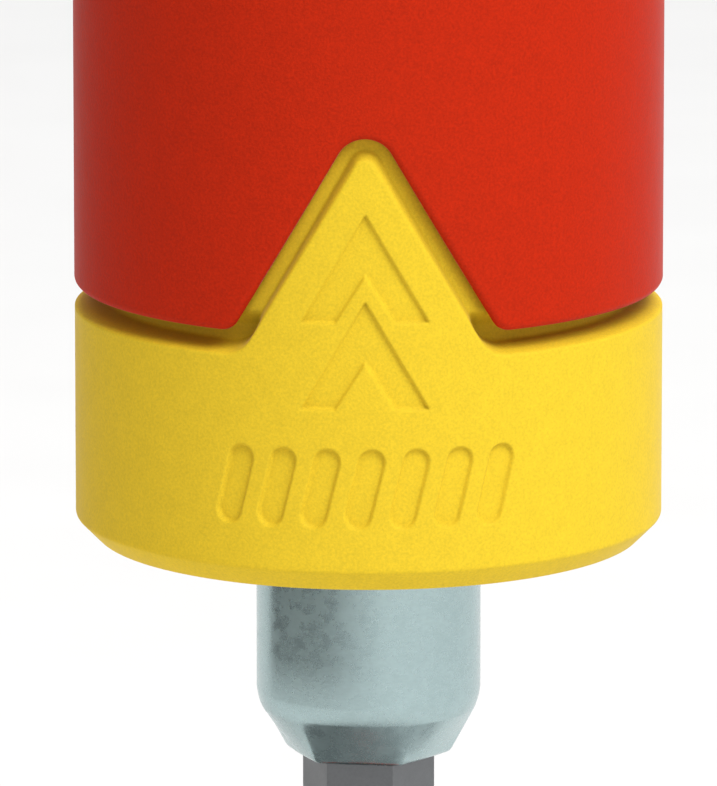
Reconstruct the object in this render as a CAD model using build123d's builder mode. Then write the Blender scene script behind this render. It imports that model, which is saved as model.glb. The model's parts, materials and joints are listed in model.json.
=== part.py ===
from build123d import *
import os
from math import hypot, radians, sin, tan

# Insulated torque screwdriver with an exchangeable insulated bit.
# The axis is Z, the tip points down and the origin is at the end of the blade.
# The front, with the raised peak and the scale window, faces -Y.

os.makedirs("parts", exist_ok=True)

# Gaps: between fixed pieces, and between pieces that turn or slide
FIT = 0.05
RUN = 0.04

# Nose of the handle
NOSE_R = 15.9
NOSE_TOP_CYLINDER_Z = 100.5
COLLAR_BASE_R = 16.0
COLLAR_FACE_Z = 62.14
COLLAR_TOP_Z = 74.94
COLLAR_CHAMFER = 1.2
COLLAR_CORNER_R = 0.25
COLLAR_TOP_CORNER_R = 0.4
COLLAR_BORE_GAP = 0.4
GROOVE_R = 14.95
SHELL_BASE_Z = 75.89
SHELL_CORNER_R = 0.45
SPIGOT_R = 13.9
SPIGOT_TOP_Z = 98.0

# Peak that rises from the collar into the shell, in the front view, and its raised middle.
# BEYOND is farther from the axis than any surface of the tool.
PEAK_POINT_Z = 88.16
PEAK_HALF_ANGLE = 30.65
PEAK_TIP_R = 1.65
PEAK_BAND = 0.95
PEAK_BASE_Z = 70.0
RAISED_TIP_R = 1.13
BEYOND = 20.0

# Marks pressed into the collar
MARK_FLOOR_R = 15.72
CHEVRON_POINTS_Z = (82.53, 77.87)
CHEVRON_HEIGHT = 5.74
CHEVRON_HALF_WIDTH = 3.37
CHEVRON_ARM = 1.75
CHEVRON_DEPTH_AT_POINT = 2.975
SLOT_COUNT = 7
SLOT_STEP = 8.6
SLOT_CENTRE_Z = 67.84
SLOT_LENGTH = 4.3
SLOT_WIDTH = 1.35
SLOT_LEAN = 14

# Handle shell, rear of the nose
SHELL_END_Z = 167.0
SHELL_END_CORNER = 1.2
SHELL_LIP = 1.5
SHELL_END_R = 15.3
GRIP_END_R = 16.2
SHELL_BORE_R = SPIGOT_R + FIT
FLUTE_R = 5.0
FLUTE_CENTRE_R = 21.9
FLUTE_COUNT = 6
FLUTE_Z = 118.0

# Spindle
MOUTH_Z = 50.0
NOSE_TOP_Z = 53.0
SPINDLE_R = 6.075
JOURNAL_R = 5.9
MOUTH_CORNER_R = 4.53
NOSE_HEX_TURN = 52
SOCKET_FLATS = 6.4
SOCKET_END_Z = 63.0
MAGNET_R = 3.0
MAGNET_END_Z = 66.0
CLIP_Z = 54.4
CLIP_HEIGHT = 0.9
CLIP_OUTER_R = 4.3
FLANGE_Z = 86.0
FLANGE_TOP_Z = 89.5
FLANGE_R = 10.9
WASHER_R = 10.6
LINING_TOP_Z = 91.0
PILOT_R = 4.0
PILOT_TOP_Z = 98.5

# Seal, bearings and mechanism tube
SEAL_Z = 64.3
SEAL_WIRE_R = 0.62
SEAL_GROOVE_DEPTH = 1.4
SEAL_GROOVE_HALF_HEIGHT = 0.9
BUSH_Z = 66.0
BUSH_TOP_Z = 85.0
BUSH_R = 8.5
TUBE_R = 12.8
TUBE_BORE_R = 11.3
TUBE_Z = 85.0
TUBE_END_Z = 164.0
KEYWAY_R = 12.05
KEYWAY_END_Z = 141.0
KEY_R = 11.95
KEY_WIDTH = 3.0
KEY_COUNT = 3
KEY_DEPTH = 3.0
KEY_SIDE_GAP = 0.1
PIN_Z = 90.0
PIN_R = 1.0
PIN_LENGTH = 2.3
PIN_CENTRE_R = 12.5
PLATE_TOP_Z = 95.0
CIRCLIP_Z = 160.07
CIRCLIP_THICKNESS = 1.2
CIRCLIP_DEPTH = 0.6
REAR_RING_INNER_R = TUBE_BORE_R - 1.6
CIRCLIP_EAR_R = 1.4
CIRCLIP_EAR_PLACE = (3.6, 9.6)
PLIER_HOLE_R = 0.6
SLIP_RING_R = 14.6

# Spring, nut and scale
SPRING_TOP_Z = 125.0
SPRING_R = 7.6
SPRING_WIRE_R = 0.75
SPRING_PITCH = 3.4
NUT_Z = 126.0
NUT_TOP_Z = 134.0
THREAD_R = 3.0
POINTER_CENTRE_Z = 131.0
POINTER_HEIGHT = 3.0
POINTER_CENTRE_Y = -12.75
POINTER_THICKNESS = 1.5
POINTER_LINE = 0.5
POINTER_SCREW_R = 0.75
POINTER_SCREW_Y = -11.1
POINTER_SCREW_LENGTH = 4.4
WINDOW_Z = 118.0
WINDOW_TOP_Z = 133.5
WINDOW_CENTRE_Z = (WINDOW_Z + WINDOW_TOP_Z) / 2
WINDOW_HEIGHT = WINDOW_TOP_Z - WINDOW_Z
WINDOW_HALF_WIDTH = 2.7
WINDOW_FLOOR = 13.0
LENS_R = 15.2
CORE_WINDOW_WIDTH = 3.6
CORE_WINDOW_MARGIN = 0.8

# Adjusting screw and knob
SCREW_FRONT_Z = 101.5
SCREW_FLANGE_Z = 147.0
SCREW_FLANGE_TOP_Z = 149.5
SCREW_FLANGE_R = 6.5
REAR_BUSH_Z = 151.0
REAR_BUSH_TOP_Z = 160.0
SQUARE_Z = 162.0
SQUARE_TOP_Z = 175.0
SQUARE = 5.0
NECK_Z = 162.6
KNOB_Z = 167.7
KNOB_TOP_Z = 184.0
KNOB_R = 15.6
KNOB_FLOOR_Z = 179.0
KNOB_FLUTES = 12
KNOB_FLUTE_R = 2.4
KNOB_NECK_R = 7.4
KNOB_SHOULDER = 4.0
CAP_R = 9.0
CAP_RISE = 0.6
KNOB_SCREW_R = 1.25
KNOB_SCREW_HEAD_R = 2.75
KNOB_SCREW_HEAD_HEIGHT = 1.95
SCREW_SEAT_Z = 176.8
KNOB_SCREW_TIP_Z = 169.0

# Bit
BIT_TOP_Z = 62.9
BIT_FLATS = 6.25
BIT_HEX_Z = 44.0
BIT_SHAFT_R = 2.5
BIT_CORNER_R = 4.2
BIT_END_R = 3.2
BLADE_TOP_Z = 12.0
BLADE_HALF_WIDTH = 2.75
BLADE_HALF_THICKNESS = 0.5
SLEEVE_Z = 11.0
SLEEVE_TOP_Z = 43.5
INNER_SLEEVE_R = 3.1
OUTER_SLEEVE_R = 3.75


def turn(*outline, mode=Mode.ADD):
    """Revolve a closed outline of (radius, height) points about Z."""
    with BuildSketch(Plane.XZ) as profile:
        with BuildLine():
            Polyline(*outline, close=True)
        make_face()
    revolve(profile.sketch, axis=Axis.Z, mode=mode)


def ring(outer_r, inner_r, low_z, high_z, mode=Mode.ADD):
    """A plain ring between two heights."""
    turn((inner_r, low_z), (outer_r, low_z), (outer_r, high_z), (inner_r, high_z), mode=mode)


def keys(outer_r, width, low_z, high_z, mode=Mode.ADD):
    """Three keys, or keyways, inside an outer radius. One of them faces -Y."""
    with PolarLocations(0, KEY_COUNT, start_angle=30):
        with Locations((outer_r - KEY_DEPTH / 2, 0, (low_z + high_z) / 2)):
            Box(KEY_DEPTH, width, high_z - low_z, mode=mode)


def peak_outline(inset, tip_r):
    """Front outline of the peak, drawn in by an inset, with a rounded tip."""
    half_angle = radians(PEAK_HALF_ANGLE)
    point_z = PEAK_POINT_Z - inset / sin(half_angle)
    half_base = (point_z - PEAK_BASE_Z) * tan(half_angle)
    with BuildSketch(Plane.XZ) as outline:
        with BuildLine():
            Polyline((-half_base, PEAK_BASE_Z), (0, point_z), (half_base, PEAK_BASE_Z), close=True)
        make_face()
        fillet(outline.vertices().sort_by(Axis.Z)[-1], tip_r)
    return outline.sketch


def distance_to_axis(edge):
    """Distance of an edge's middle from the Z axis."""
    middle = edge.position_at(0.5)
    return hypot(middle.X, middle.Y)


# ---------------------------------------------------------------- handle

with BuildPart() as peak_block:
    # Solid peak through the whole nose, front and back.
    extrude(peak_outline(0, PEAK_TIP_R), amount=BEYOND, both=True)

with BuildPart() as raised_block:
    extrude(peak_outline(PEAK_BAND, RAISED_TIP_R), amount=BEYOND, both=True)

with BuildPart() as marks:
    # Two stacked chevrons and a row of leaning slots, cut to a shallow round floor.
    with BuildSketch(Plane.XZ):
        for point_z in CHEVRON_POINTS_Z:
            with BuildLine():
                Polyline(
                    (0, point_z),
                    (CHEVRON_HALF_WIDTH, point_z - CHEVRON_HEIGHT),
                    (CHEVRON_HALF_WIDTH - CHEVRON_ARM, point_z - CHEVRON_HEIGHT),
                    (0, point_z - CHEVRON_DEPTH_AT_POINT),
                    (CHEVRON_ARM - CHEVRON_HALF_WIDTH, point_z - CHEVRON_HEIGHT),
                    (-CHEVRON_HALF_WIDTH, point_z - CHEVRON_HEIGHT),
                    close=True,
                )
            make_face()
    extrude(amount=BEYOND, both=True)
    for side in (0, 180):
        for step in range(SLOT_COUNT):
            bearing = side + (step - (SLOT_COUNT - 1) / 2) * SLOT_STEP
            with BuildSketch(Plane.XZ.rotated((0, 0, bearing))):
                with Locations((0, SLOT_CENTRE_Z)):
                    SlotOverall(SLOT_LENGTH, SLOT_WIDTH, rotation=90 - SLOT_LEAN)
            extrude(amount=BEYOND)
    ring(BEYOND + 1, MARK_FLOOR_R, COLLAR_FACE_Z, PEAK_POINT_Z, mode=Mode.INTERSECT)

with BuildPart() as pin_holes:
    with Locations(Location((0, 0, PIN_Z), (0, 90, 0))):
        Cylinder(PIN_R + FIT, 2 * SPIGOT_R)

with BuildPart() as nose_collar:
    turn(
        (SPINDLE_R + COLLAR_BORE_GAP, COLLAR_FACE_Z),
        (COLLAR_BASE_R - COLLAR_CHAMFER, COLLAR_FACE_Z),
        (COLLAR_BASE_R, COLLAR_FACE_Z + COLLAR_CHAMFER),
        (NOSE_R, COLLAR_TOP_Z),
        (GROOVE_R, COLLAR_TOP_Z),
        (GROOVE_R, SHELL_BASE_Z - FIT),
        (SPIGOT_R, SHELL_BASE_Z - FIT),
        (SPIGOT_R, SPIGOT_TOP_Z),
        (TUBE_R + FIT, SPIGOT_TOP_Z),
        (TUBE_R + FIT, TUBE_Z),
        (BUSH_R + FIT, TUBE_Z),
        (BUSH_R + FIT, BUSH_Z),
        (SPINDLE_R + COLLAR_BORE_GAP, BUSH_Z),
    )
    rims = nose_collar.edges().filter_by(GeomType.CIRCLE)
    chamfer_rims = rims.filter_by(
        lambda edge: edge.radius > SPIGOT_R and edge.center().Z < COLLAR_FACE_Z + 2 * COLLAR_CHAMFER)
    fillet(chamfer_rims, COLLAR_CORNER_R)
    rims = nose_collar.edges().filter_by(GeomType.CIRCLE)
    top_rim = rims.filter_by(
        lambda edge: edge.radius > GROOVE_R + FIT and abs(edge.center().Z - COLLAR_TOP_Z) < FIT)
    fillet(top_rim, COLLAR_TOP_CORNER_R)
    # Sunk band beside the shell, then the raised face of the peak.
    with BuildPart(mode=Mode.PRIVATE) as band:
        add(peak_block.part)
        ring(GROOVE_R, TUBE_R + FIT, COLLAR_TOP_Z, SPIGOT_TOP_Z, mode=Mode.INTERSECT)
    with BuildPart(mode=Mode.PRIVATE) as raised:
        add(raised_block.part)
        ring(NOSE_R, TUBE_R + FIT, PEAK_BASE_Z + 3, SPIGOT_TOP_Z, mode=Mode.INTERSECT)
    add(band.part)
    add(raised.part)
    add(marks.part, mode=Mode.SUBTRACT)
    add(pin_holes.part, mode=Mode.SUBTRACT)
    # Groove for the spindle seal.
    ring(JOURNAL_R + SEAL_GROOVE_DEPTH, JOURNAL_R, SEAL_Z - SEAL_GROOVE_HALF_HEIGHT,
         SEAL_Z + SEAL_GROOVE_HALF_HEIGHT, mode=Mode.SUBTRACT)

with BuildPart() as handle_shell:
    with BuildSketch(Plane.XZ) as shell_profile:
        with BuildLine():
            nose_line = Line((NOSE_R, SHELL_BASE_Z), (NOSE_R, NOSE_TOP_CYLINDER_Z))
            guard = ThreePointArc(nose_line @ 1, (17.6, 106.0), (16.4, 112.5))
            waist = ThreePointArc(guard @ 1, (15.95, 116.5), (16.5, 123.0))
            grip_end = (GRIP_END_R, SHELL_END_Z - SHELL_END_CORNER)
            grip = ThreePointArc(waist @ 1, (17.8, 143.0), grip_end)
            Polyline(
                grip @ 1,
                (SHELL_END_R, SHELL_END_Z),
                (TUBE_R + FIT, SHELL_END_Z),
                (TUBE_R + FIT, SHELL_END_Z - SHELL_LIP),
                (SHELL_BORE_R, SHELL_END_Z - SHELL_LIP),
                (SHELL_BORE_R, SHELL_BASE_Z),
                nose_line @ 0,
            )
        make_face()
    revolve(axis=Axis.Z)
    add(peak_block.part, mode=Mode.SUBTRACT)
    outer_rim = handle_shell.edges().filter_by(
        lambda edge: edge.center().Z < PEAK_POINT_Z and abs(distance_to_axis(edge) - NOSE_R) < FIT)
    fillet(outer_rim, SHELL_CORNER_R)
    with PolarLocations(FLUTE_CENTRE_R, FLUTE_COUNT):
        with Locations((0, 0, FLUTE_Z)):
            Cylinder(FLUTE_R, SHELL_END_Z - FLUTE_Z + 1, align=(Align.CENTER, Align.CENTER, Align.MIN),
                     mode=Mode.SUBTRACT)
    # Window for the scale.
    with Locations((0, -BEYOND, WINDOW_CENTRE_Z)):
        Box(2 * WINDOW_HALF_WIDTH, 2 * (BEYOND - WINDOW_FLOOR), WINDOW_HEIGHT, mode=Mode.SUBTRACT)

with BuildPart() as handle_core:
    ring(SPIGOT_R, TUBE_R + FIT, SPIGOT_TOP_Z + FIT, SHELL_END_Z - SHELL_LIP - FIT)
    with Locations((0, -SPIGOT_R, WINDOW_CENTRE_Z)):
        Box(CORE_WINDOW_WIDTH, 4, WINDOW_HEIGHT - 2 * CORE_WINDOW_MARGIN, mode=Mode.SUBTRACT)

with BuildPart() as scale_window:
    ring(LENS_R, SPIGOT_R + FIT, WINDOW_Z + FIT, WINDOW_TOP_Z - FIT)
    with Locations((0, -SPIGOT_R, WINDOW_CENTRE_Z)):
        Box(2 * (WINDOW_HALF_WIDTH - FIT), 4, WINDOW_HEIGHT, mode=Mode.INTERSECT)

with BuildPart() as front_bush:
    ring(BUSH_R, JOURNAL_R + RUN, BUSH_Z + FIT, BUSH_TOP_Z - FIT)
    chamfer(front_bush.edges().filter_by(GeomType.CIRCLE), 0.25)

with BuildPart() as front_seal:
    with BuildSketch(Plane.XZ):
        with Locations((JOURNAL_R + SEAL_WIRE_R + 2 * FIT, SEAL_Z)):
            Circle(SEAL_WIRE_R)
    revolve(axis=Axis.Z)

with BuildPart() as thrust_washer:
    ring(WASHER_R, SPINDLE_R + 4 * FIT, TUBE_Z + RUN, FLANGE_Z - FIT)

with BuildPart() as mechanism_tube:
    ring(TUBE_R, TUBE_BORE_R, TUBE_Z + FIT, TUBE_END_Z)
    # Three keyways from the front end, the one at -Y opened as a slot for the pointer.
    keys(KEYWAY_R, KEY_WIDTH + 2 * KEY_SIDE_GAP, TUBE_Z, KEYWAY_END_Z, mode=Mode.SUBTRACT)
    with Locations((0, -TUBE_R, WINDOW_CENTRE_Z)):
        Box(KEY_WIDTH + 2 * KEY_SIDE_GAP, 4, WINDOW_HEIGHT + POINTER_HEIGHT, mode=Mode.SUBTRACT)
    # Groove for the rear circlip and holes for the dowel pins.
    ring(TUBE_BORE_R + CIRCLIP_DEPTH + 2 * FIT, REAR_RING_INNER_R, CIRCLIP_Z - FIT,
         CIRCLIP_Z + CIRCLIP_THICKNESS + FIT, mode=Mode.SUBTRACT)
    add(pin_holes.part, mode=Mode.SUBTRACT)

with BuildPart() as tube_pins:
    # Two dowels that lock the tube in the collar.
    with Locations(
        Location((PIN_CENTRE_R, 0, PIN_Z), (0, 90, 0)), Location((-PIN_CENTRE_R, 0, PIN_Z), (0, 90, 0))
    ):
        Cylinder(PIN_R, PIN_LENGTH)

with BuildPart() as pressure_plate:
    ring(TUBE_BORE_R - RUN, PILOT_R + RUN, LINING_TOP_Z + RUN, PLATE_TOP_Z)
    keys(KEY_R, KEY_WIDTH, LINING_TOP_Z + RUN, PLATE_TOP_Z)

with BuildPart() as rear_bush:
    ring(TUBE_BORE_R - FIT, PILOT_R + RUN, REAR_BUSH_Z, REAR_BUSH_TOP_Z)
    chamfer(rear_bush.faces().sort_by(Axis.Z)[-1].edges(), 0.4)

with BuildPart() as rear_circlip:
    ring(TUBE_BORE_R + CIRCLIP_DEPTH, REAR_RING_INNER_R, CIRCLIP_Z, CIRCLIP_Z + CIRCLIP_THICKNESS)
    circlip_centre_z = CIRCLIP_Z + CIRCLIP_THICKNESS / 2
    ear_x, ear_y = CIRCLIP_EAR_PLACE
    with Locations((0, TUBE_BORE_R, circlip_centre_z)):
        Box(2 * (ear_x - CIRCLIP_EAR_R) + 0.6, 6, 2 * CIRCLIP_THICKNESS, mode=Mode.SUBTRACT)
    with Locations((ear_x, ear_y, circlip_centre_z), (-ear_x, ear_y, circlip_centre_z)):
        Cylinder(CIRCLIP_EAR_R, CIRCLIP_THICKNESS)
        Cylinder(PLIER_HOLE_R, 2 * CIRCLIP_THICKNESS, mode=Mode.SUBTRACT)

with BuildPart() as slip_ring:
    ring(SLIP_RING_R, CAP_R, SHELL_END_Z + FIT, KNOB_Z - 2 * FIT)

# ---------------------------------------------------------------- spindle

with BuildPart() as spindle:
    ring(SPINDLE_R, 0, NOSE_TOP_Z, COLLAR_FACE_Z)
    ring(JOURNAL_R, 0, COLLAR_FACE_Z, FLANGE_Z)
    ring(FLANGE_R, 0, FLANGE_Z, FLANGE_TOP_Z)
    ring(PILOT_R, 0, FLANGE_TOP_Z, PILOT_TOP_Z)
    chamfer(spindle.faces().sort_by(Axis.Z)[-1].edges(), 0.5)
    with BuildSketch(Plane.XY.offset(NOSE_TOP_Z)):
        Circle(SPINDLE_R)
    with BuildSketch(Plane.XY.offset(MOUTH_Z)) as mouth:
        RegularPolygon(MOUTH_CORNER_R, 6, rotation=NOSE_HEX_TURN)
        fillet(mouth.vertices(), 0.7)
    loft()
    with BuildSketch(Plane.XY.offset(MOUTH_Z)):
        RegularPolygon(SOCKET_FLATS / 2, 6, rotation=NOSE_HEX_TURN, major_radius=False)
    extrude(amount=SOCKET_END_Z - MOUTH_Z, mode=Mode.SUBTRACT)
    ring(MAGNET_R + FIT, 0, SOCKET_END_Z - 0.5, MAGNET_END_Z + FIT, mode=Mode.SUBTRACT)
    ring(CLIP_OUTER_R + FIT, 0, CLIP_Z - FIT, CLIP_Z + CLIP_HEIGHT + FIT, mode=Mode.SUBTRACT)

with BuildPart() as bit_magnet:
    ring(MAGNET_R, 0, SOCKET_END_Z + 0.02, MAGNET_END_Z)
    chamfer(bit_magnet.edges().filter_by(GeomType.CIRCLE), 0.2)

with BuildPart() as bit_clip:
    # Open spring ring around the corners of the bit's shank.
    ring(CLIP_OUTER_R, CLIP_OUTER_R - 0.55, CLIP_Z, CLIP_Z + CLIP_HEIGHT)
    with Locations((0, 4, CLIP_Z + CLIP_HEIGHT / 2)):
        Box(1.6, 3, 2, mode=Mode.SUBTRACT)

with BuildPart() as clutch_lining:
    ring(FLANGE_R - 0.3, PILOT_R + 1.2, FLANGE_TOP_Z + 0.01, LINING_TOP_Z)
    with PolarLocations(7.6, 8):
        with Locations((0, 0, LINING_TOP_Z)):
            Box(6, 0.8, 0.8, mode=Mode.SUBTRACT)

# ---------------------------------------------------------------- spring, nut and scale

with BuildPart() as clutch_spring:
    with BuildLine() as coil:
        Helix(
            pitch=SPRING_PITCH,
            height=SPRING_TOP_Z - PLATE_TOP_Z - 2 * SPRING_WIRE_R - 0.1,
            radius=SPRING_R,
            center=(0, 0, PLATE_TOP_Z + SPRING_WIRE_R + 0.05),
        )
    with BuildSketch(Plane(origin=coil.line @ 0, z_dir=coil.line % 0)):
        Circle(SPRING_WIRE_R)
    sweep(is_frenet=True)

with BuildPart() as spring_washer:
    ring(WASHER_R - 0.2, THREAD_R + 0.6, SPRING_TOP_Z, NUT_Z - RUN)

with BuildPart() as spring_nut:
    ring(TUBE_BORE_R - RUN, THREAD_R + RUN, NUT_Z, NUT_TOP_Z)
    keys(KEY_R, KEY_WIDTH, NUT_Z, NUT_TOP_Z)
    with Locations(Location((0, -TUBE_BORE_R, POINTER_CENTRE_Z), (90, 0, 0))):
        Cylinder(POINTER_SCREW_R + FIT, 6, mode=Mode.SUBTRACT)

with BuildPart() as scale_pointer:
    # Rides in the tube's slot and shows in the window.
    with Locations((0, POINTER_CENTRE_Y, POINTER_CENTRE_Z)):
        Box(KEY_WIDTH, POINTER_THICKNESS, POINTER_HEIGHT)
    with Locations((0, POINTER_CENTRE_Y - POINTER_THICKNESS / 2, POINTER_CENTRE_Z)):
        Box(KEY_WIDTH, 0.4, POINTER_LINE)
    with Locations(Location((0, POINTER_CENTRE_Y, POINTER_CENTRE_Z), (90, 0, 0))):
        Cylinder(POINTER_SCREW_R + FIT, 3, mode=Mode.SUBTRACT)

with BuildPart() as pointer_screw:
    with Locations(Location((0, POINTER_SCREW_Y, POINTER_CENTRE_Z), (90, 0, 0))):
        Cylinder(POINTER_SCREW_R, POINTER_SCREW_LENGTH)

# ---------------------------------------------------------------- adjusting screw and knob

with BuildPart() as adjusting_screw:
    ring(THREAD_R, 0, SCREW_FRONT_Z, SCREW_FLANGE_Z)
    chamfer(adjusting_screw.faces().sort_by(Axis.Z)[0].edges(), 0.6)
    ring(SCREW_FLANGE_R, 0, SCREW_FLANGE_Z, SCREW_FLANGE_TOP_Z)
    ring(PILOT_R, 0, SCREW_FLANGE_TOP_Z, SQUARE_Z)
    with Locations((0, 0, (SQUARE_Z + SQUARE_TOP_Z) / 2)):
        Box(SQUARE, SQUARE, SQUARE_TOP_Z - SQUARE_Z)
    ring(1.3, 0, SQUARE_Z + 4, SQUARE_TOP_Z, mode=Mode.SUBTRACT)

with BuildPart() as screw_washer:
    ring(7.8, PILOT_R + 0.1, SCREW_FLANGE_TOP_Z + 0.02, REAR_BUSH_Z - 0.05)

with BuildPart() as knob:
    with BuildSketch(Plane.XZ) as knob_profile:
        with BuildLine():
            Polyline(
                (0, NECK_Z),
                (KNOB_NECK_R, NECK_Z),
                (KNOB_NECK_R, KNOB_Z),
                (KNOB_R - 0.6, KNOB_Z),
                (KNOB_R, KNOB_Z + 0.8),
                (KNOB_R, KNOB_TOP_Z - KNOB_SHOULDER),
            )
            Spline(
                (KNOB_R, KNOB_TOP_Z - KNOB_SHOULDER),
                (KNOB_R - 1.2, KNOB_TOP_Z - 1.4),
                (KNOB_R - KNOB_SHOULDER, KNOB_TOP_Z),
                tangents=((0, 1), (-1, 0.1)),
            )
            Polyline((KNOB_R - KNOB_SHOULDER, KNOB_TOP_Z), (0, KNOB_TOP_Z), (0, NECK_Z))
        make_face()
    revolve(axis=Axis.Z)
    with PolarLocations(KNOB_R + 1.5, KNOB_FLUTES, start_angle=180 / KNOB_FLUTES):
        with Locations((0, 0, (KNOB_Z + KNOB_TOP_Z) / 2)):
            Cylinder(KNOB_FLUTE_R, KNOB_TOP_Z - KNOB_Z + 1, mode=Mode.SUBTRACT)
    with Locations((0, 0, SQUARE_Z)):
        Box(SQUARE + 2 * FIT, SQUARE + 2 * FIT, SQUARE_TOP_Z + 1 - SQUARE_Z,
            align=(Align.CENTER, Align.CENTER, Align.MIN), mode=Mode.SUBTRACT)
    ring(KNOB_SCREW_R + 0.35, 0, SQUARE_TOP_Z, KNOB_TOP_Z, mode=Mode.SUBTRACT)
    ring(KNOB_SCREW_HEAD_R + 0.55, 0, SCREW_SEAT_Z, KNOB_TOP_Z, mode=Mode.SUBTRACT)
    ring(CAP_R + FIT, 0, KNOB_FLOOR_Z, KNOB_TOP_Z, mode=Mode.SUBTRACT)

with BuildPart() as knob_screw:
    head_z = SCREW_SEAT_Z + FIT
    ring(KNOB_SCREW_R, 0, KNOB_SCREW_TIP_Z, head_z)
    ring(KNOB_SCREW_HEAD_R, 0, head_z, head_z + KNOB_SCREW_HEAD_HEIGHT)
    with BuildSketch(Plane.XY.offset(head_z + KNOB_SCREW_HEAD_HEIGHT)):
        RegularPolygon(KNOB_SCREW_R, 6, major_radius=False)
    extrude(amount=-1.2, mode=Mode.SUBTRACT)

with BuildPart() as knob_cap:
    ring(CAP_R, 0, KNOB_FLOOR_Z + FIT, KNOB_TOP_Z + CAP_RISE)
    fillet(knob_cap.faces().sort_by(Axis.Z)[-1].edges(), 0.9)
    ring(CAP_R - 2, 0, KNOB_FLOOR_Z, KNOB_FLOOR_Z + 2.5, mode=Mode.SUBTRACT)

# ---------------------------------------------------------------- bit

with BuildPart() as bit_core:
    ring(BIT_SHAFT_R, 0, BLADE_TOP_Z - 2, BIT_HEX_Z)
    with BuildSketch(Plane.XY.offset(BIT_HEX_Z)):
        RegularPolygon(BIT_FLATS / 2, 6, rotation=NOSE_HEX_TURN, major_radius=False)
    extrude(amount=BIT_TOP_Z - BIT_HEX_Z)
    with BuildPart(mode=Mode.PRIVATE) as shank_turning:
        turn((0, BIT_HEX_Z), (BIT_END_R, BIT_HEX_Z), (BIT_CORNER_R, BIT_HEX_Z + 0.6),
             (BIT_CORNER_R, BIT_TOP_Z - 0.6), (BIT_END_R, BIT_TOP_Z), (0, BIT_TOP_Z))
        ring(BIT_CORNER_R, 0, 0, BIT_HEX_Z)
    # Flat blade, wider than it is thick, thinning towards its end.
    with BuildSketch(Plane.XY.offset(BLADE_TOP_Z)):
        Circle(BIT_SHAFT_R)
    with BuildSketch(Plane.XY):
        Rectangle(2 * BLADE_HALF_WIDTH, 2 * BLADE_HALF_THICKNESS)
    loft()
    add(shank_turning.part, mode=Mode.INTERSECT)

with BuildPart() as bit_inner_sleeve:
    ring(INNER_SLEEVE_R, BIT_SHAFT_R + 0.02, SLEEVE_Z + 1.2, SLEEVE_TOP_Z)

with BuildPart() as bit_outer_sleeve:
    ring(OUTER_SLEEVE_R, INNER_SLEEVE_R + 0.02, SLEEVE_Z + 2.2, SLEEVE_TOP_Z - 0.6)
    chamfer(bit_outer_sleeve.faces().sort_by(Axis.Z)[0].edges().sort_by(SortBy.RADIUS)[-1], 0.3)

# ---------------------------------------------------------------- export

pieces = {
    "nose_collar": nose_collar,
    "handle_shell": handle_shell,
    "handle_core": handle_core,
    "scale_window": scale_window,
    "front_bush": front_bush,
    "front_seal": front_seal,
    "thrust_washer": thrust_washer,
    "mechanism_tube": mechanism_tube,
    "tube_pins": tube_pins,
    "pressure_plate": pressure_plate,
    "rear_bush": rear_bush,
    "rear_circlip": rear_circlip,
    "slip_ring": slip_ring,
    "spindle": spindle,
    "bit_magnet": bit_magnet,
    "bit_clip": bit_clip,
    "clutch_lining": clutch_lining,
    "clutch_spring": clutch_spring,
    "spring_washer": spring_washer,
    "spring_nut": spring_nut,
    "scale_pointer": scale_pointer,
    "pointer_screw": pointer_screw,
    "adjusting_screw": adjusting_screw,
    "screw_washer": screw_washer,
    "knob": knob,
    "knob_screw": knob_screw,
    "knob_cap": knob_cap,
    "bit_core": bit_core,
    "bit_inner_sleeve": bit_inner_sleeve,
    "bit_outer_sleeve": bit_outer_sleeve,
}
for name, piece in pieces.items():
    piece.part.label = name
    export_step(piece.part, f"parts/{name}.step")
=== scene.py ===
import json
import math

import bpy
import numpy as np
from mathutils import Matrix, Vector


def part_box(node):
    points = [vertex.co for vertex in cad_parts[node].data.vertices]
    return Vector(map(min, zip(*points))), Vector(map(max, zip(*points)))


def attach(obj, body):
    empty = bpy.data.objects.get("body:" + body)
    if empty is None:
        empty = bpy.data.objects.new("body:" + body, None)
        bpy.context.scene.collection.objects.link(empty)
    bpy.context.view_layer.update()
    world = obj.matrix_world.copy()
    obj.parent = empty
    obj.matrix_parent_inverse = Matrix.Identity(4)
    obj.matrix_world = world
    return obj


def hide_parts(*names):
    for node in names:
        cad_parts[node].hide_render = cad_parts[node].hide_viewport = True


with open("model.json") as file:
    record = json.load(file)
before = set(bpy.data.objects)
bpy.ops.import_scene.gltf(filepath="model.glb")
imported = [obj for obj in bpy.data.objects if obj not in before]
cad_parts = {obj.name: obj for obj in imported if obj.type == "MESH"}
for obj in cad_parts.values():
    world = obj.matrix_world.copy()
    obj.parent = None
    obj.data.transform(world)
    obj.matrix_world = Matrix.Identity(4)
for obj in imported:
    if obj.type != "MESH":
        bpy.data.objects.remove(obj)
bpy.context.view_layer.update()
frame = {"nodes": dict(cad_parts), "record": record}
nodes = frame["nodes"]
scene = bpy.context.scene

MM = 0.001
shell_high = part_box("handle_shell")[1] / MM
collar_low, collar_high = (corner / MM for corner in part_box("nose_collar"))
spindle_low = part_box("spindle")[0] / MM

# ---------------------------------------------------------------- dimensions, in millimetres

FACE_Z = collar_low.z
BASE_R = collar_high.x  # the solid collar's radius, which the marks are laid out on
NOSE_R = 15.87
COLLAR_R = 15.85
BORE_R = 12.85  # the handle's bore, through both the collar's spigot and the shell
FAR = 99  # a distance that is never the nearest
EDGE_Z = FACE_Z + 12.75
RED_Z = FACE_Z + 13.85
PEAK_Z = FACE_Z + 26.02
PEAK_ANGLE = math.radians(30.65)
PEAK_TIP_R = 1.65
BAND = 0.95
GROOVE_DEPTH = 1.8
BAND_DEPTH = 0.8
MARK_DEPTH = 0.24
CHAMFER = 1.2


# ---------------------------------------------------------------- shape helpers

def smooth(t):
    t = np.clip(t, 0, 1)
    return t * t * (3 - 2 * t)


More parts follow.
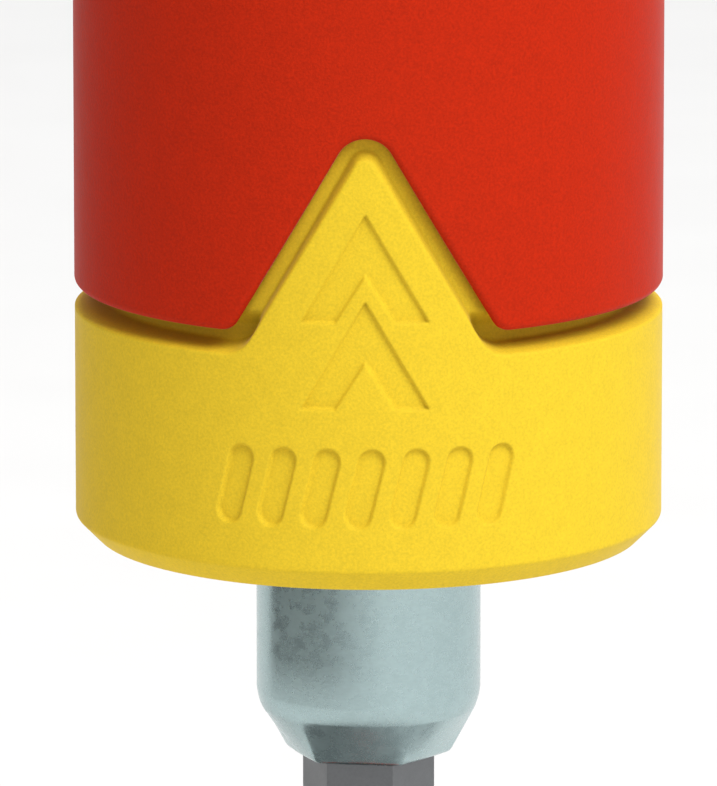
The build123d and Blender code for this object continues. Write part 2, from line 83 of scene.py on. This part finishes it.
def soft_min(a, b, k):
    h = np.clip(0.5 + 0.5 * (b - a) / k, 0, 1)
    return b * (1 - h) + a * h - k * h * (1 - h)


def peak_distance(x, z):
    """Distance outside the rounded peak, negative inside it."""
    centre_z = PEAK_Z - PEAK_TIP_R / math.sin(PEAK_ANGLE)
    px, pz = np.abs(x), z - centre_z
    along = px * math.sin(PEAK_ANGLE) - pz * math.cos(PEAK_ANGLE)
    flank = px * math.cos(PEAK_ANGLE) + pz * math.sin(PEAK_ANGLE)
    return np.where(along < 0, np.hypot(px, pz), flank) - PEAK_TIP_R


def polygon_distance(x, z, corners):
    """Signed distance to a closed polygon, negative inside."""
    best = np.full(np.broadcast(x, z).shape, 1e9)
    sign = np.ones_like(best)
    for (ax, az), (bx, bz) in zip(corners, corners[1:] + corners[:1]):
        ex, ez = bx - ax, bz - az
        wx, wz = x - ax, z - az
        t = np.clip((wx * ex + wz * ez) / (ex * ex + ez * ez), 0, 1)
        best = np.minimum(best, np.hypot(wx - t * ex, wz - t * ez))
        above_a, above_b = z >= az, z < bz
        left = ex * wz > ez * wx
        flip = (above_a & above_b & left) | (~above_a & ~above_b & ~left)
        sign = np.where(flip, -sign, sign)
    return sign * best


def local_x(phi, radius=BASE_R):
    """Sideways distance from the nearer of the front and back centre lines."""
    phi = (phi + math.pi) % (2 * math.pi) - math.pi
    phi = np.where(np.abs(phi) > math.pi / 2, phi - np.sign(phi) * math.pi, phi)
    return radius * np.sin(phi)


def bearings(fine_half_deg, fine_step_deg, coarse_step_deg):
    """Column angles, fine around the front and the back."""
    fine = np.arange(-fine_half_deg, fine_half_deg, fine_step_deg)
    coarse = np.arange(fine_half_deg, 180 - fine_half_deg, coarse_step_deg)
    half = np.concatenate([fine, coarse])
    return np.radians(np.concatenate([half, half + 180]))


def surface(name, phi, rows, open_cells=None):
    """A closed tube of quads. Each row is a radius, a height and perhaps a bearing for every column."""
    n, m = len(rows), len(phi)
    r = np.array([np.broadcast_to(row[0], m) for row in rows])
    z = np.array([np.broadcast_to(row[1], m) for row in rows])
    a = np.array([row[2] if len(row) > 2 else phi for row in rows])
    co = np.stack([r * np.sin(a), -r * np.cos(a), z], axis=-1).reshape(-1, 3) * MM
    i, j = np.meshgrid(np.arange(n - 1), np.arange(m), indexing="ij")
    k = (j + 1) % m
    quads = np.stack([i * m + j, i * m + k, (i + 1) * m + k, (i + 1) * m + j], axis=-1)
    quads = quads.reshape(-1, 4)
    if open_cells is not None:
        quads = quads[~open_cells.ravel()]
    mesh = bpy.data.meshes.new(name)
    mesh.vertices.add(len(co))
    mesh.vertices.foreach_set("co", co.astype(np.float32).ravel())
    mesh.loops.add(quads.size)
    mesh.loops.foreach_set("vertex_index", quads.astype(np.int32).ravel())
    mesh.polygons.add(len(quads))
    mesh.polygons.foreach_set("loop_start", np.arange(0, quads.size, 4, dtype=np.int32))
    mesh.update(calc_edges=True)
    mesh.shade_smooth()
    obj = bpy.data.objects.new(name, mesh)
    scene.collection.objects.link(obj)
    return obj


def sharpen(obj, degrees=40):
    """Hard shading across steep edges."""
    obj.data.set_sharp_from_angle(angle=math.radians(degrees))


# ---------------------------------------------------------------- collar

CHEVRON_HALF_WIDTH = 3.37
CHEVRON_HALF_NOTCH = 1.62
CHEVRON_HEIGHT = 5.74
CHEVRON_TO_NOTCH = 3.2
CHEVRONS = [
    [(0, top), (CHEVRON_HALF_WIDTH, top - CHEVRON_HEIGHT), (CHEVRON_HALF_NOTCH, top - CHEVRON_HEIGHT),
     (0, top - CHEVRON_TO_NOTCH),
     (-CHEVRON_HALF_NOTCH, top - CHEVRON_HEIGHT), (-CHEVRON_HALF_WIDTH, top - CHEVRON_HEIGHT)]
    for top in (FACE_Z + 20.39, FACE_Z + 15.73)
]
SLOT_Z = FACE_Z + 5.7
SLOT_HALF = 1.475
SLOT_R = 0.675
SLOT_STEP = math.radians(8.6)
SLOT_LEAN = math.radians(14)
SPINDLE_HOLE_R = 6.475
SPINDLE_HOLE_TOP_Z = 66.0
SPIGOT_R = 13.9
SPIGOT_TOP_Z = 98.0
SPIGOT_BORE_LOW_Z = 85.0
SHOULDER_R = 14.2
SHOULDER_Z = 89.6
COLLAR_ROW_STEP = 0.085
CORNER_ROUND = 0.35
CORNER_EASE = 0.12


def slot_distance(phi, z):
    """Distance outside the row of leaning slots, on the front and on the back."""
    best = np.full(np.broadcast(phi, z).shape, 1e9)
    phi = (phi + math.pi / 2) % math.pi - math.pi / 2
    for step in range(-3, 4):
        x = (phi - step * SLOT_STEP) * BASE_R
        lx, lz = math.sin(SLOT_LEAN), math.cos(SLOT_LEAN)
        along = np.clip(x * lx + (z - SLOT_Z) * lz, -SLOT_HALF, SLOT_HALF)
        best = np.minimum(best, np.hypot(x - along * lx, z - SLOT_Z - along * lz) - SLOT_R)
    return best


def collar_radius(phi, z):
    """Radius of the collar with its groove, the peak's edge band and the sunk marks."""
    x = local_x(phi)
    outside = soft_min(z - EDGE_Z, peak_distance(x, z) + BAND, 0.9)
    depth = GROOVE_DEPTH + (BAND_DEPTH - GROOVE_DEPTH) * smooth((z - RED_Z) / 1.2)
    radius = COLLAR_R - depth * smooth((outside + 0.2) / 0.55)
    marks = np.minimum(polygon_distance(x, z, CHEVRONS[0]), polygon_distance(x, z, CHEVRONS[1]))
    marks = np.minimum(marks, slot_distance(phi, z))
    return radius - MARK_DEPTH * (1 - smooth((marks + 0.06) / 0.14))


phi = bearings(36, 0.28, 1.0)
HOLE_CHAMFER = 0.15
rows = [(SPINDLE_HOLE_R, SPINDLE_HOLE_TOP_Z), (SPINDLE_HOLE_R, FACE_Z + HOLE_CHAMFER),
        (SPINDLE_HOLE_R + HOLE_CHAMFER, FACE_Z)]
face_edge = COLLAR_R - CHAMFER
for step in range(5):
    a = math.radians(45 * step / 4)
    rows.append((face_edge - CORNER_EASE + CORNER_ROUND * math.sin(a),
                 FACE_Z + CORNER_ROUND * (1 - math.cos(a))))
for step in range(1, 7):
    a = math.radians(45 + 45 * step / 6)
    rows.append((COLLAR_R - CORNER_ROUND * (1 - math.sin(a)),
                 FACE_Z + CHAMFER + CORNER_EASE - CORNER_ROUND * math.cos(a)))
for z in np.arange(FACE_Z + 1.5, SHOULDER_Z - 0.4, COLLAR_ROW_STEP):
    rows.append((collar_radius(phi, np.full_like(phi, z)), z))
rows += [(SHOULDER_R, SHOULDER_Z), (SPIGOT_R, SHOULDER_Z), (SPIGOT_R, SPIGOT_TOP_Z),
         (BORE_R, SPIGOT_TOP_Z), (BORE_R, SPIGOT_BORE_LOW_Z)]
collar = surface("collar_body", phi, rows)
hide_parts("nose_collar")
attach(collar, "handle")

# ---------------------------------------------------------------- shell


def red_inside(phi, z):
    """Distance inside the shell's lower edge, negative where the collar shows."""
    x = local_x(phi, NOSE_R)
    return soft_min(z - RED_Z, peak_distance(x, z), 0.55)


def red_edge(phi):
    """Lower edge of the shell at each column."""
    low, high = np.full_like(phi, RED_Z - 0.5), np.full_like(phi, PEAK_Z + 1)
    for _ in range(40):
        middle = (low + high) / 2
        inside = red_inside(phi, middle) > 0
        high = np.where(inside, middle, high)
        low = np.where(inside, low, middle)
    return high


def straight_in(phi, radius):
    """Bearings on an inner radius that keep the peak's walls square to the front and the back."""
    folded = (phi + math.pi / 2) % math.pi - math.pi / 2
    share = smooth((math.radians(50) - np.abs(folded)) / math.radians(20))
    inner = np.arcsin(np.clip(NOSE_R / radius * np.sin(folded), -1, 1))
    return phi + share * (inner - folded)


def arc_profile(points):
    """Radius of a chain of three-point arcs as a function of height."""
    heights, radii = [], []
    for (r0, z0), (r1, z1), (r2, z2) in points:
        a = np.array([[r0, z0, 1], [r1, z1, 1], [r2, z2, 1]])
        b = -np.array([r0 ** 2 + z0 ** 2, r1 ** 2 + z1 ** 2, r2 ** 2 + z2 ** 2])
        d, e, f = np.linalg.solve(a, b)
        cr, cz = -d / 2, -e / 2
        big = math.sqrt(cr * cr + cz * cz - f)
        z = np.linspace(z0, z2, 60)
        side = 1 if (r0 + r2) / 2 > cr else -1
        heights.append(z)
        radii.append(cr + side * np.sqrt(np.maximum(big ** 2 - (z - cz) ** 2, 0)))
    return np.concatenate(heights), np.concatenate(radii)


SHELL_END = shell_high.z
END_ROUND = 1.2
END_ROUND_Z = SHELL_END - END_ROUND
NOSE_END_Z = 100.5
BULGE_END = (16.4, 112.5)
WAIST_END = (16.5, 123.0)
PROFILE = arc_profile([
    ((NOSE_R, NOSE_END_Z), (17.6, 106.0), BULGE_END),
    (BULGE_END, (15.95, 116.5), WAIST_END),
    (WAIST_END, (17.8, 143.0), (16.2, END_ROUND_Z)),
])
FLUTE_AXIS_R = 21.9
FLUTE_R = 5
FLUTE_START_Z = 116
FLUTE_RUN_IN = 12
FLUTE_LIFT = 4
TICK_ZONE = (117, 135)
TICK_FACE_R = 16.6
TICK_COUNT = 6
TICK_START_Z = 123.5
TICK_STEP = 1.5
TICK_CENTRE_X = 4.3
TICK_HALF_HEIGHT = 0.14
TICK_DEPTH = 0.18


def shell_radius(phi, z):
    """Radius of the grip with its six flutes and the scale's sunk tick marks."""
    base = np.interp(z, *PROFILE, left=NOSE_R)
    nearest = (phi + math.pi / 2 + math.pi / 6) % (math.pi / 3) - math.pi / 6
    sideways = FLUTE_AXIS_R * np.sin(nearest)
    flute = FLUTE_AXIS_R * np.cos(nearest) - np.sqrt(np.maximum(FLUTE_R ** 2 - sideways ** 2, 0))
    flute = np.where(np.abs(sideways) < FLUTE_R, flute, FAR)
    flute = flute + FLUTE_LIFT * (1 - smooth((z - FLUTE_START_Z) / FLUTE_RUN_IN))
    radius = soft_min(base, flute, 0.5)
    radius = np.minimum(radius, base)
    ticks = np.full(np.broadcast(phi, z).shape, 1e9)
    if TICK_ZONE[0] < float(np.mean(z)) < TICK_ZONE[1]:
        x = np.where(np.cos(phi) > 0, TICK_FACE_R * np.sin(phi), FAR)
        for step in range(TICK_COUNT):
            half_width = 0.9 if step % 5 == 0 else 0.5
            dx = np.maximum(np.abs(np.abs(x) - TICK_CENTRE_X) - half_width, 0)
            dz = z - (TICK_START_Z + TICK_STEP * step)
            ticks = np.minimum(ticks, np.hypot(dx, dz) - TICK_HALF_HEIGHT)
    return radius - TICK_DEPTH * (1 - smooth(ticks / 0.1))


SHELL_INNER_R = 13.95
SHELL_FILLET = 0.38
EDGE_RISE = 12
WINDOW_LOW_Z, WINDOW_HIGH_Z = 118.0, 133.5
WINDOW_HALF_WIDTH = 2.7
WINDOW_WALL = 0.04

phi = bearings(36, 0.28, 0.75)
edge = red_edge(phi)
rows = [(SHELL_INNER_R, edge + 0.3, straight_in(phi, SHELL_INNER_R))]
for radius in (SHELL_INNER_R, 14.6, 15.2):
    rows.append((radius, edge, straight_in(phi, radius)))
for rise in np.concatenate([np.arange(0, 1.4, 0.07), np.arange(1.4, EDGE_RISE, 0.5)]):
    z = edge + rise
    inside = np.maximum(red_inside(phi, z), 0)
    short = np.maximum(SHELL_FILLET - inside, 0)
    drop = SHELL_FILLET - np.sqrt(np.maximum(SHELL_FILLET ** 2 - short ** 2, 0))
    rows.append((NOSE_R - drop, z))
start = np.maximum(edge + EDGE_RISE, 88.3)
for share in np.linspace(0, 1, 5):
    rows.append((NOSE_R, start + (NOSE_END_Z - 0.1 - start) * share))
heights = np.unique(np.round(np.concatenate([
    np.arange(NOSE_END_Z, END_ROUND_Z, 0.6),
    np.arange(WINDOW_LOW_Z - 1.2, WINDOW_HIGH_Z + 1.1, 0.12),
    [WINDOW_LOW_Z, WINDOW_LOW_Z - WINDOW_WALL, WINDOW_HIGH_Z, WINDOW_HIGH_Z + WINDOW_WALL],
]), 3))
for z in heights:
    radius = shell_radius(phi, np.full_like(phi, z))
    x = np.where(np.cos(phi) > 0, np.abs(radius * np.sin(phi)), FAR)
    if WINDOW_LOW_Z <= z <= WINDOW_HIGH_Z:
        radius = np.where(x < WINDOW_HALF_WIDTH, SHELL_INNER_R, radius)
    rows.append((radius, z))
end_radius = shell_radius(phi, np.full_like(phi, END_ROUND_Z))
for step in range(1, 9):
    a = math.radians(90 * step / 8)
    rows.append((end_radius - END_ROUND * (1 - math.cos(a)), END_ROUND_Z + END_ROUND * math.sin(a)))
rows += [(BORE_R, SHELL_END), (BORE_R, SHELL_END - 1.5)]

# The window is left open: the cells that lie wholly on its floor are taken out
all_radii = np.array([np.broadcast_to(row[0], len(phi)) for row in rows])
at_floor = np.abs(all_radii - SHELL_INNER_R) < 1e-6
at_floor[:3] = False
both_columns = at_floor & np.roll(at_floor, -1, axis=1)
open_cells = both_columns[:-1] & both_columns[1:]
shell = surface("shell_body", phi, rows, open_cells)
sharpen(shell, 50)
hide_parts("handle_shell")
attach(shell, "handle")

# ---------------------------------------------------------------- spindle

TAPER_Z = 53.0
MOUTH_Z = spindle_low.z
SPINDLE_R = 6.075
JOURNAL_R = 5.9
FACET_TURN = math.radians(-8)
TAPER = math.tan(math.radians(27.2))
TAPER_LENGTH = 3
EDGE_BLEND = 0.8
FACET_DROP = 0.45
FACET_SHARE = 0.85
TIP_CHAMFER = 0.1
TIP_SLOPE = 1.2
SOCKET_HALF_FLATS = 3.2
SOCKET_CHAMFER_Z = 0.3
SOCKET_CHAMFER_R = 0.25
SOCKET_END_Z = 62.9
JOURNAL_LOW_Z = FACE_Z - 0.3
FLANGE_R = 10.9
FLANGE_LOW_Z, FLANGE_TOP_Z = 86.0, 89.5
STEM_R = 4.0
STEM_END_Z = 98.5
STEM_CHAMFER = 0.5


def hexagon(phi, turn):
    """1 at the corners of a hexagon, less on its sides."""
    nearest = (phi - turn + math.pi / 6) % (math.pi / 3) - math.pi / 6
    return math.cos(math.pi / 6) / np.cos(nearest)


phi = np.radians(np.arange(0, 360, 0.75))
socket = hexagon(phi, FACET_TURN) * SOCKET_HALF_FLATS / math.cos(math.pi / 6)
rows = [(0.0, SOCKET_END_Z), (socket, SOCKET_END_Z), (socket, 60.0),
        (socket, MOUTH_Z + SOCKET_CHAMFER_Z), (socket + SOCKET_CHAMFER_R, MOUTH_Z)]
facets = soft_min(hexagon(phi, FACET_TURN), np.full_like(phi, 0.985), 0.02) - 1
for drop in np.concatenate([[3.0, 2.93], np.arange(2.8, 0.6, -0.2), np.arange(0.6, -0.5, -0.05)]):
    corner = SPINDLE_R + TAPER * soft_min(-drop, 0, EDGE_BLEND)
    faceted = np.clip((drop - FACET_DROP) / (TAPER_LENGTH - FACET_DROP), 0, 1)
    radius = corner * (1 + FACET_SHARE * facets * faceted)
    chamfer = max(drop - (TAPER_LENGTH - TIP_CHAMFER), 0)
    rows.append((radius - chamfer * TIP_SLOPE, TAPER_Z - drop))
rows += [(SPINDLE_R, TAPER_Z + 0.6), (SPINDLE_R, 56.0), (SPINDLE_R, JOURNAL_LOW_Z),
         (JOURNAL_R, JOURNAL_LOW_Z), (JOURNAL_R, FLANGE_LOW_Z),
         (FLANGE_R, FLANGE_LOW_Z), (FLANGE_R, FLANGE_TOP_Z),
         (STEM_R, FLANGE_TOP_Z), (STEM_R, STEM_END_Z - STEM_CHAMFER),
         (STEM_R - STEM_CHAMFER, STEM_END_Z), (0.0, STEM_END_Z)]
spindle = surface("spindle_body", phi, rows)
sharpen(spindle, 22)
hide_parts("spindle")
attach(spindle, "spindle")

# ---------------------------------------------------------------- materials


MIX_A, MIX_B, MIX_RESULT = 6, 7, 2  # colour sockets of the Mix node


def linear(rgb):
    """A linear colour from display values of 0 to 255."""
    return [(c / 255 / 12.92 if c <= 10 else ((c / 255 + 0.055) / 1.055) ** 2.4) for c in rgb] + [1.0]


def set_range(node, from_low, from_high, to_low, to_high):
    """Fill in the limits of a Map Range node."""
    for key, limit in zip(("From Min", "From Max", "To Min", "To Max"),
                          (from_low, from_high, to_low, to_high)):
        node.inputs[key].default_value = limit


class Nodes:
    """Short hand for building a node tree."""

    def __init__(self, name):
        self.material = bpy.data.materials.new(name)
        self.material.use_nodes = True
        self.tree = self.material.node_tree
        self.shader = self.tree.nodes["Principled BSDF"]
        self.coords = self.add("ShaderNodeTexCoord").outputs["Object"]

    def add(self, kind, **values):
        node = self.tree.nodes.new(kind)
        for key, value in values.items():
            if hasattr(node, key):
                setattr(node, key, value)
            else:
                node.inputs[key.replace("_", " ")].default_value = value
        return node

    def link(self, a, b):
        self.tree.links.new(a, b)

    def noise(self, scale, detail=2.0, roughness=0.5, stretch=(1, 1, 1)):
        mapping = self.add("ShaderNodeMapping")
        mapping.inputs["Scale"].default_value = stretch
        self.link(self.coords, mapping.inputs["Vector"])
        noise = self.add("ShaderNodeTexNoise", Scale=scale, Detail=detail, Roughness=roughness)
        self.link(mapping.outputs["Vector"], noise.inputs["Vector"])
        return noise.outputs["Fac"]

    def spread(self, value, low, high):
        """Map a noise value around 0.5 to a range."""
        node = self.add("ShaderNodeMapRange")
        self.link(value, node.inputs["Value"])
        set_range(node, 0.3, 0.7, low, high)
        return node.outputs["Result"]

    def tint(self, rgb, factor):
        """The colour, made lighter or darker by a factor socket."""
        node = self.add("ShaderNodeMix", data_type="RGBA", blend_type="MULTIPLY")
        node.inputs["Factor"].default_value = 1.0
        grey = self.add("ShaderNodeCombineColor")
        for channel in ("Red", "Green", "Blue"):
            self.link(factor, grey.inputs[channel])
        self.link(grey.outputs["Color"], node.inputs[MIX_A])
        node.inputs[MIX_B].default_value = rgb
        return node.outputs[MIX_RESULT]

    def painted_crevice_shade(self, shade, crevice_shade):
        """A tone made darker by ambient occlusion where the surface is closed in: painted shade in
        corners and crevices.
        """
        hidden = self.add("ShaderNodeAmbientOcclusion", samples=6)
        hidden.inputs["Distance"].default_value = 1.4 * MM
        painted_darkening = self.add("ShaderNodeMapRange")
        self.link(hidden.outputs["AO"], painted_darkening.inputs["Value"])
        set_range(painted_darkening, 0.3, 0.85, 1 - crevice_shade, 1)
        product = self.add("ShaderNodeMath", operation="MULTIPLY")
        self.link(shade, product.inputs[0])
        self.link(painted_darkening.outputs["Result"], product.inputs[1])
        return product.outputs[0]

    def bump(self, heights):
        """Chain of (height, distance in millimetres)."""
        last = None
        for height, distance in heights:
            node = self.add("ShaderNodeBump")
            node.inputs["Strength"].default_value = 1.0
            node.inputs["Distance"].default_value = distance * MM
            self.link(height, node.inputs["Height"])
            if last is not None:
                self.link(last.outputs["Normal"], node.inputs["Normal"])
            last = node
        self.link(last.outputs["Normal"], self.shader.inputs["Normal"])


def plastic(name, rgb, roughness=0.62, grain=0.016, gloss=0.07, sheen=0.1, speckle=0.13, crevice_shade=0.0):
    """Moulded plastic or rubber with a fine grain, and painted shade in its corners and crevices where
    an amount for it is given.
    """
    n = Nodes(name)
    fine = n.noise(7000, 2.0, 0.6)
    wide = n.noise(900, 2.0, 0.5)
    total = n.add("ShaderNodeMath", operation="ADD")
    n.link(n.spread(fine, -speckle, speckle), total.inputs[0])
    n.link(n.spread(wide, 0.98, 1.02), total.inputs[1])
    shade = total.outputs[0]
    # painted shade: the colour is darkened where ambient occlusion finds the surface closed in
    if crevice_shade:
        shade = n.painted_crevice_shade(shade, crevice_shade)
    n.link(n.tint(linear(rgb), shade), n.shader.inputs["Base Color"])
    n.link(n.spread(fine, roughness - 0.05, roughness + 0.05), n.shader.inputs["Roughness"])
    n.shader.inputs["Specular IOR Level"].default_value = gloss
    n.shader.inputs["Sheen Weight"].default_value = sheen
    n.shader.inputs["Sheen Roughness"].default_value = 0.3
    n.bump([(fine, grain), (wide, grain)])
    return n.material


def metal(name, rgb, roughness=0.35, grain=0.004, stretch=(1, 1, 1), mottle=0.08):
    """Bare metal with machining grain along the stretch and a slow mottle over it."""
    n = Nodes(name)
    fine = n.noise(7000, 3.0, 0.6, stretch)
    wide = n.noise(1225, 4.0, 0.65)
    total = n.add("ShaderNodeMath", operation="ADD")
    n.link(n.spread(fine, -mottle / 2, mottle / 2), total.inputs[0])
    n.link(n.spread(wide, 1 - mottle, 1 + mottle), total.inputs[1])
    n.link(n.tint(linear(rgb), total.outputs[0]), n.shader.inputs["Base Color"])
    n.link(n.spread(wide, roughness - 0.06, roughness + 0.06), n.shader.inputs["Roughness"])
    n.shader.inputs["Metallic"].default_value = 1.0
    n.bump([(fine, grain)])
    return n.material


def clear(name):
    """Clear acrylic, slightly uneven in its polish."""
    n = Nodes(name)
    n.shader.inputs["Base Color"].default_value = (0.93, 0.95, 0.96, 1)
    n.shader.inputs["Transmission Weight"].default_value = 1.0
    n.shader.inputs["IOR"].default_value = 1.49
    n.link(n.spread(n.noise(1500), 0.02, 0.06), n.shader.inputs["Roughness"])
    return n.material


looks = {
    "red_shell": plastic("red_plastic", (186, 38, 8)),
    # painted shade darkens the yellow in the collar's groove, edge band and sunk marks
    "yellow_body": plastic("yellow_plastic", (230, 196, 46), grain=0.013, speckle=0.08, crevice_shade=0.45),
    "red_sleeve": plastic("red_sleeve_plastic", (200, 40, 18), 0.4, 0.004, 0.5, 0.0),
    "pointer_red": plastic("pointer_plastic", (190, 20, 14), 0.35, 0.003, 0.5, 0.0),
    "seal_rubber": plastic("rubber", (22, 22, 23), 0.7, 0.006, 0.3, 0.0),
    "clear_lens": clear("clear_plastic"),
    "bronze": metal("bronze_metal", (190, 150, 96), 0.3, 0.003, (1, 1, 0.05)),
    "steel_bright": metal("bright_steel", (196, 198, 200), 0.22, 0.002, (1, 1, 0.05), 0.05),
    "steel_satin": metal("satin_steel", (160, 164, 166), 0.34, 0.003, (1, 1, 0.08)),
    "steel_spring": metal("spring_steel", (110, 112, 116), 0.3, 0.003),
    "spindle_steel": metal("spindle_metal", (170, 191, 192), 0.27, 0.0016, (0.35, 0.35, 1), 0.07),
    "magnet_nickel": metal("nickel", (200, 198, 192), 0.15, 0.001, (1, 1, 1), 0.03),
    "bit_steel": metal("bit_metal", (120, 122, 124), 0.42, 0.008, (1, 1, 1), 0.08),
}
for part in frame["record"]["subparts"]:
    obj = nodes[part["node"]]
    obj.data.materials.clear()
    obj.data.materials.append(looks[part["material_slot"]])
for obj, look in ((collar, "yellow_body"), (shell, "red_shell"), (spindle, "spindle_steel")):
    obj.data.materials.append(looks[look])

# ---------------------------------------------------------------- floor, light and camera

floor_mesh = bpy.data.meshes.new("floor")
floor_mesh.from_pydata([(-6, -6, 0), (6, -6, 0), (6, 6, 0), (-6, 6, 0)], [], [(0, 1, 2, 3)])
floor = bpy.data.objects.new("floor", floor_mesh)
floor.location.z = -0.004
scene.collection.objects.link(floor)
pale = Nodes("pale_floor")
pale.link(pale.tint((0.74, 0.74, 0.74, 1), pale.spread(pale.noise(40), 0.99, 1.01)),
          pale.shader.inputs["Base Color"])
pale.shader.inputs["Roughness"].default_value = 0.8
floor_mesh.materials.append(pale.material)

# Cards that only reflections show, glowing sheets that paint reflections: one curved about the tool's
# left paints a band into the steel's reflection, dark to the left and brighter towards the front; one
# on the floor under it paints the floor's shade under the tool into reflections


def reflection_card(name, points, faces, fade_from, fade_to):
    """A sheet whose glow grows along X from one (x, strength) to another."""
    mesh = bpy.data.meshes.new(name)
    mesh.from_pydata(points, [], faces)
    card = bpy.data.objects.new(name, mesh)
    card.visible_camera = False
    card.visible_shadow = False
    card.visible_diffuse = False
    card.visible_transmission = False
    scene.collection.objects.link(card)
    painted_reflection = Nodes(name + "_cloth")
    across = painted_reflection.add("ShaderNodeSeparateXYZ")
    painted_reflection.link(painted_reflection.coords, across.inputs["Vector"])
    glow = painted_reflection.add("ShaderNodeMapRange", interpolation_type="SMOOTHSTEP")
    painted_reflection.link(across.outputs["X"], glow.inputs["Value"])
    set_range(glow, fade_from[0], fade_to[0], fade_from[1], fade_to[1])
    painted_reflection.link(glow.outputs["Result"], painted_reflection.shader.inputs["Emission Strength"])
    painted_reflection.shader.inputs["Emission Color"].default_value = (1, 1, 1, 1)
    painted_reflection.shader.inputs["Base Color"].default_value = (0, 0, 0, 1)
    painted_reflection.shader.inputs["Specular IOR Level"].default_value = 0
    mesh.materials.append(painted_reflection.material)


CARD_R = 0.22
CARD_TOP = 0.12
CARD_Z = -0.003
left_edge = [math.radians(-118 + 8 * step) for step in range(17)]
wall = [(CARD_R * math.sin(a), -CARD_R * math.cos(a), z) for a in left_edge for z in (CARD_Z, CARD_TOP)]
wall_faces = [(k, k + 2, k + 3, k + 1) for k in range(0, len(wall) - 2, 2)]
# painted reflection: a glowing sheet, dim at its left end and brighter towards the front, seen only in
# glossy reflections
reflection_card("left_card", wall, wall_faces, (-0.19, 0.1), (0.04, 0.85))
DISC_R = 0.05
disc = [(DISC_R * math.sin(math.radians(a)), DISC_R * math.cos(math.radians(a)), CARD_Z)
        for a in range(0, 360, 10)]
# painted shade in reflections: a dimly glowing disc under the tool that stands in for the floor's shade
# there
reflection_card("floor_card", disc, [tuple(range(len(disc)))], (-0.03, 0.2), (0.04, 0.6))

world = bpy.data.worlds.new("studio")
world.use_nodes = True
tree = world.node_tree
direction = tree.nodes.new("ShaderNodeTexCoord").outputs["Generated"]
facing = tree.nodes.new("ShaderNodeVectorMath")
facing.operation = "DOT_PRODUCT"
facing.inputs[1].default_value = (-0.985, -0.174, 0)
tree.links.new(direction, facing.inputs[0])
shade = tree.nodes.new("ShaderNodeMapRange")
shade.interpolation_type = "SMOOTHSTEP"
set_range(shade, 0.2, 0.95, 0.58, 0.05)
tree.links.new(facing.outputs["Value"], shade.inputs["Value"])
tree.links.new(shade.outputs["Result"], tree.nodes["Background"].inputs["Strength"])
tree.nodes["Background"].inputs["Color"].default_value = (1, 1, 1, 1)
scene.world = world

middle = Vector((0, 0, 70 * MM))


def face_point(obj, azimuth, elevation, distance, aim):
    """Place a lamp or the camera at angles in degrees around a point, and turn it to face the point."""
    a, e = math.radians(azimuth), math.radians(elevation)
    back = Vector((math.sin(a) * math.cos(e), -math.cos(a) * math.cos(e), math.sin(e)))
    obj.location = aim + back * distance
    obj.rotation_euler = back.to_track_quat("Z", "Y").to_euler()
    scene.collection.objects.link(obj)


def softbox(name, azimuth, elevation, distance, side, power, aim, colour=(1, 1, 1)):
    """A square lamp that faces a point."""
    lamp = bpy.data.lights.new(name, "AREA")
    lamp.shape = "RECTANGLE"
    lamp.size, lamp.size_y = side, side
    lamp.energy = power
    lamp.color = colour
    face_point(bpy.data.objects.new(name, lamp), azimuth, elevation, distance, aim)


softbox("key", 38, 50, 1.3, 0.7, 14.3, middle)
softbox("warm_fill", -72, 22, 1.1, 0.7, 1.5, middle, (1, 0.84, 0.62))
softbox("behind", 180, 89, 0.9, 0.5, 4.0, Vector((0, 0.40, 0)))

CAMERA_AZIMUTH = 0.75
CAMERA_ELEVATION = 11.85
CAMERA_DISTANCE = 0.620
AIM_ABOVE_FACE = 7.6
AIM_TO_LEFT = 0.545
camera_data = bpy.data.cameras.new("camera")
camera_data.sensor_width = 36
camera_data.lens = 525.389
camera_data.clip_start, camera_data.clip_end = 0.05, 50
camera = bpy.data.objects.new("camera", camera_data)
right = Vector((math.cos(math.radians(CAMERA_AZIMUTH)), math.sin(math.radians(CAMERA_AZIMUTH)), 0))
target = Vector((0, 0, (FACE_Z + AIM_ABOVE_FACE) * MM)) - right * AIM_TO_LEFT * MM
face_point(camera, CAMERA_AZIMUTH, CAMERA_ELEVATION, CAMERA_DISTANCE, target)
scene.camera = camera

scene.view_settings.view_transform = "Standard"
